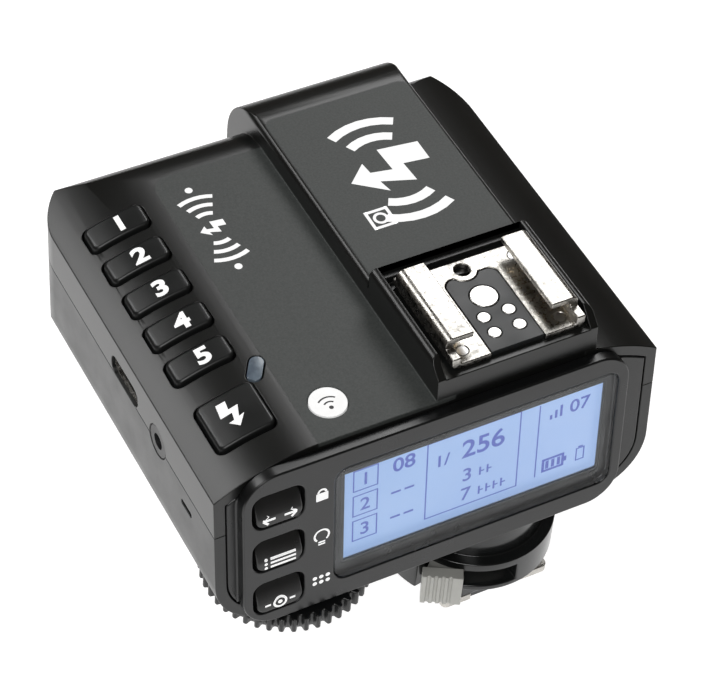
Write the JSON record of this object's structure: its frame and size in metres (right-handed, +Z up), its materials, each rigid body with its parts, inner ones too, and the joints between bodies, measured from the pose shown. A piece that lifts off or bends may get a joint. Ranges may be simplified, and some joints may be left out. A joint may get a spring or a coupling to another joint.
{
  "type": "wireless flash trigger",
  "caption": "Shoe-mounted wireless flash trigger: two-part casing, leaning lit screen, group and function buttons, select dial, top shoe and locking foot.",
  "frame": {"origin": "centre of the foot plate's underside, on the axis of the foot's main contact", "axes": "+X to the right seen from the screen, +Y away from the screen towards the lens, +Z up through the top shoe"},
  "size_m": [0.0727, 0.0753, 0.0569],
  "materials": {
    "shell": "fine-textured charcoal moulding",
    "lower_shell": "fine-textured charcoal moulding",
    "panel": "satin black moulding",
    "window": "clear hard-coated acrylic",
    "screen": "lit blue liquid-crystal panel",
    "frame_metal": "stamped tin plate",
    "diffuser": "white light guide",
    "board": "green solder mask",
    "button": "satin charcoal moulding",
    "switch": "small moulded switch",
    "light_pipe": "smoky translucent moulding",
    "badge": "white printed inlay",
    "can": "tinned shield",
    "black_plastic": "black moulding",
    "dial": "ribbed black moulding",
    "steel": "turned steel",
    "shoe_metal": "nickel-plated bent sheet",
    "insulator": "black moulding",
    "contact": "nickel-plated contact",
    "spring_metal": "phosphor bronze strip",
    "gold": "gold-plated pin",
    "lever": "light grey moulding",
    "red_lens": "dark red window",
    "cell": "sleeved cell"
  },
  "bodies": {
    "casing": {"top_housing": "shell", "bottom_housing": "lower_shell", "rear_panel": "panel", "lcd_window": "window", "lcd_display": "screen", "lcd_frame": "frame_metal", "lcd_backlight": "diffuser", "display_board": "board", "rear_switches": "switch", "status_light_pipe": "light_pipe", "wireless_badge": "badge", "deck_board": "board", "deck_switches": "switch", "main_board": "board", "radio_module": "can", "buzzer": "black_plastic", "dial_encoder": "black_plastic", "shoe_rails": "shoe_metal", "shoe_insulator": "insulator", "shoe_contacts": "contact", "shoe_springs": "spring_metal", "shoe_screws": "steel", "foot_collar": "black_plastic", "foot_plate": "shoe_metal", "foot_insulator": "insulator", "foot_screws": "steel", "usb_shell": "can", "usb_tongue": "black_plastic", "sync_jack": "black_plastic", "assist_lens": "red_lens", "assist_led": "switch", "battery_tray": "black_plastic", "battery_cells": "cell", "battery_springs": "steel", "battery_plates": "steel", "housing_screws": "steel"},
    "group_key_a": {"group_button_a": "button"},
    "group_key_b": {"group_button_b": "button"},
    "group_key_c": {"group_button_c": "button"},
    "group_key_d": {"group_button_d": "button"},
    "group_key_e": {"group_button_e": "button"},
    "test_key": {"test_button": "button"},
    "mode_key": {"mode_button": "button"},
    "menu_key": {"menu_button": "button"},
    "set_key": {"set_button": "button"},
    "dial": {"select_dial": "dial", "dial_shaft": "steel"},
    "lever": {"lock_lever": "lever"},
    "lock": {"lock_pin": "steel"},
    "pin_main": {"contact_pin_main": "gold"},
    "pin_a": {"contact_pin_a": "gold"},
    "pin_b": {"contact_pin_b": "gold"},
    "pin_c": {"contact_pin_c": "gold"},
    "pin_d": {"contact_pin_d": "gold"},
    "power_slider": {"power_switch": "black_plastic"},
    "assist_slider": {"assist_switch": "black_plastic"},
    "door": {"battery_door": "lower_shell"}
  },
  "joints": [
    {"name": "group_a_press", "type": "slide", "parent": "casing", "child": "group_key_a", "axis": [0, 0, -1], "range_m": [0, 0.0005], "stiffness_N_per_m": 600},
    {"name": "group_b_press", "type": "slide", "parent": "casing", "child": "group_key_b", "axis": [0, 0, -1], "range_m": [0, 0.0005], "stiffness_N_per_m": 600},
    {"name": "group_c_press", "type": "slide", "parent": "casing", "child": "group_key_c", "axis": [0, 0, -1], "range_m": [0, 0.0005], "stiffness_N_per_m": 600},
    {"name": "group_d_press", "type": "slide", "parent": "casing", "child": "group_key_d", "axis": [0, 0, -1], "range_m": [0, 0.0005], "stiffness_N_per_m": 600},
    {"name": "group_e_press", "type": "slide", "parent": "casing", "child": "group_key_e", "axis": [0, 0, -1], "range_m": [0, 0.0005], "stiffness_N_per_m": 600},
    {"name": "test_press", "type": "slide", "parent": "casing", "child": "test_key", "axis": [0, 0, -1], "range_m": [0, 0.0005], "stiffness_N_per_m": 600},
    {"name": "mode_press", "type": "slide", "parent": "casing", "child": "mode_key", "axis": [0, 0.9962, -0.0872], "range_m": [0, 0.0005], "stiffness_N_per_m": 600},
    {"name": "menu_press", "type": "slide", "parent": "casing", "child": "menu_key", "axis": [0, 0.9962, -0.0872], "range_m": [0, 0.0005], "stiffness_N_per_m": 600},
    {"name": "set_press", "type": "slide", "parent": "casing", "child": "set_key", "axis": [0, 0.9962, -0.0872], "range_m": [0, 0.0005], "stiffness_N_per_m": 600},
    {"name": "dial_turn", "type": "hinge", "parent": "casing", "child": "dial", "pos_m": [-0.0328, -0.0004, 0.016], "axis": [0, 0, 1], "continuous": true},
    {"name": "lever_swing", "type": "hinge", "parent": "casing", "child": "lever", "pos_m": [0, 0, 0.008], "axis": [0, 0, 1], "range_deg": [0, 36]},
    {"name": "lock_drop", "type": "slide", "parent": "casing", "child": "lock", "axis": [0, 0, -1], "range_m": [0, 0.0018]},
    {"name": "pin_main_give", "type": "slide", "parent": "casing", "child": "pin_main", "axis": [0, 0, 1], "range_m": [0, 0.0006], "stiffness_N_per_m": 400},
    {"name": "pin_a_give", "type": "slide", "parent": "casing", "child": "pin_a", "axis": [0, 0, 1], "range_m": [0, 0.0006], "stiffness_N_per_m": 400},
    {"name": "pin_b_give", "type": "slide", "parent": "casing", "child": "pin_b", "axis": [0, 0, 1], "range_m": [0, 0.0006], "stiffness_N_per_m": 400},
    {"name": "pin_c_give", "type": "slide", "parent": "casing", "child": "pin_c", "axis": [0, 0, 1], "range_m": [0, 0.0006], "stiffness_N_per_m": 400},
    {"name": "pin_d_give", "type": "slide", "parent": "casing", "child": "pin_d", "axis": [0, 0, 1], "range_m": [0, 0.0006], "stiffness_N_per_m": 400},
    {"name": "power_slide", "type": "slide", "parent": "casing", "child": "power_slider", "axis": [0, 1, 0], "range_m": [0, 0.003]},
    {"name": "assist_slide", "type": "slide", "parent": "casing", "child": "assist_slider", "axis": [0, 1, 0], "range_m": [0, 0.003]},
    {"name": "door_slide", "type": "slide", "parent": "casing", "child": "door", "axis": [0, 1, 0], "range_m": [0, 0.008]}
  ],
  "couplings": [
    {"joint": "lock_drop", "follows": "lever_swing", "m_per_rad": 0.0028647}
  ]
}
